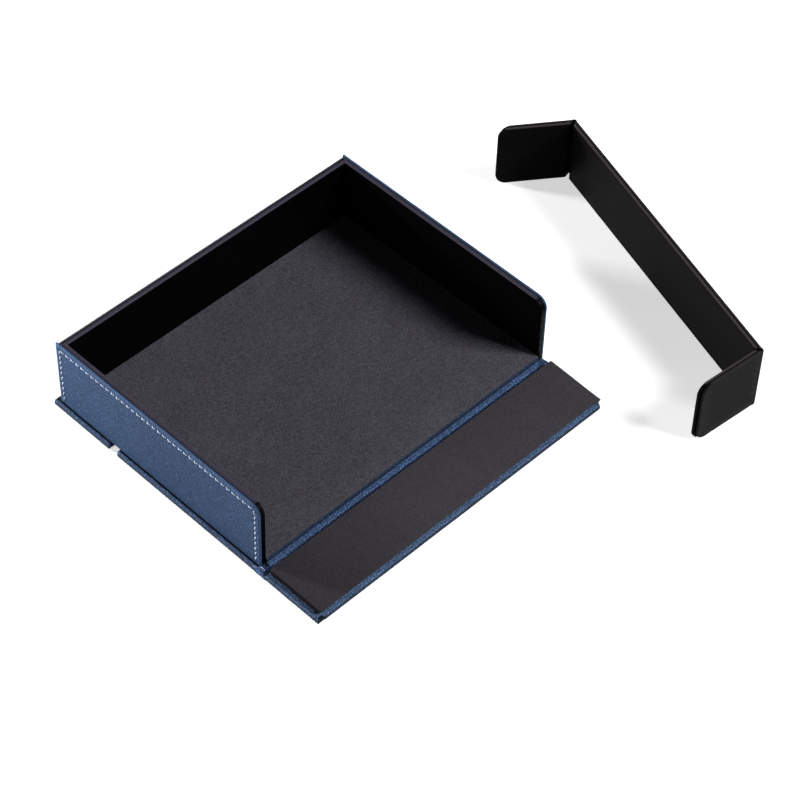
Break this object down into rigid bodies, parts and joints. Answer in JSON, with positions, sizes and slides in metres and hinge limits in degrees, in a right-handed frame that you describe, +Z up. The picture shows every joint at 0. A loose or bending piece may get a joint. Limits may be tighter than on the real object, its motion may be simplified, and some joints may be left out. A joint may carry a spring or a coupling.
{
  "type": "dice storage chest",
  "caption": "Open-front dice tray with stitched side walls on a folding wrapped cover with a front flap, and a loose folding wall with hinged wings that stands beside it.",
  "frame": {"origin": "under the middle of the tray, on the surface that it stands on", "axes": "+X to the right seen from the open front, +Y to the back wall, +Z up"},
  "size_m": [0.2783, 0.2174, 0.04],
  "materials": {
    "blue_leatherette": "fine grained, satin",
    "black_leatherette": "smooth, satin",
    "flap_lining": "short brushed microfibre",
    "felt": "matte felt",
    "greyboard": "matte pressed board",
    "thread": "white twisted thread",
    "magnet": "nickel plated"
  },
  "bodies": {
    "tray": {"cover_main_board": "greyboard", "cover_main_skin": "blue_leatherette", "front_hinge_strip": "blue_leatherette", "rear_hinge_strip": "blue_leatherette", "floor_board": "greyboard", "floor_felt": "felt", "left_outer_board": "greyboard", "left_outer_skin": "blue_leatherette", "left_core_wall": "black_leatherette", "left_lining": "black_leatherette", "left_stitching": "thread", "right_outer_board": "greyboard", "right_outer_skin": "blue_leatherette", "right_core_wall": "black_leatherette", "right_lining": "black_leatherette", "right_stitching": "thread", "back_outer_board": "greyboard", "back_outer_skin": "black_leatherette", "back_core_wall": "black_leatherette", "back_lining": "black_leatherette", "wall_magnets": "magnet"},
    "front_flap": {"flap_board": "greyboard", "flap_skin": "blue_leatherette", "flap_lining_board": "greyboard", "flap_lining_skin": "flap_lining", "flap_magnets": "magnet"},
    "rear_panel": {"rear_panel_board": "greyboard", "rear_panel_skin": "blue_leatherette"},
    "folding_wall": {"insert_long_outer_board": "greyboard", "insert_long_outer_skin": "black_leatherette", "insert_long_inner_board": "greyboard", "insert_long_inner_skin": "black_leatherette", "insert_rear_fold": "black_leatherette", "insert_front_fold": "black_leatherette"},
    "wall_rear_wing": {"insert_rear_wing_outer_board": "greyboard", "insert_rear_wing_outer_skin": "black_leatherette", "insert_rear_wing_inner_board": "greyboard", "insert_rear_wing_inner_skin": "black_leatherette"},
    "wall_front_wing": {"insert_front_wing_outer_board": "greyboard", "insert_front_wing_outer_skin": "black_leatherette", "insert_front_wing_inner_board": "greyboard", "insert_front_wing_inner_skin": "black_leatherette"}
  },
  "joints": [
    {"name": "flap_fold", "type": "hinge", "parent": "tray", "child": "front_flap", "pos_m": [0, -0.0701, 0.0009], "axis": [-1, 0, 0], "range_deg": [0, 90]},
    {"name": "rear_panel_fold", "type": "hinge", "parent": "tray", "child": "rear_panel", "pos_m": [0, 0.02795, 0.0012], "axis": [-1, 0, 0], "range_deg": [0, 90]},
    {"name": "folding_wall_lift", "type": "slide", "parent": "tray", "child": "folding_wall", "axis": [0, 0, 1], "range_m": [0, 0.06]},
    {"name": "rear_wing_fold", "type": "hinge", "parent": "folding_wall", "child": "wall_rear_wing", "pos_m": [0.18773, 0.01038, 0], "axis": [0, 0, -1], "range_deg": [-18.4, 71.6]},
    {"name": "front_wing_fold", "type": "hinge", "parent": "folding_wall", "child": "wall_front_wing", "pos_m": [0.13757, -0.1487, 0], "axis": [0, 0, 1], "range_deg": [-12.5, 77.5]}
  ]
}
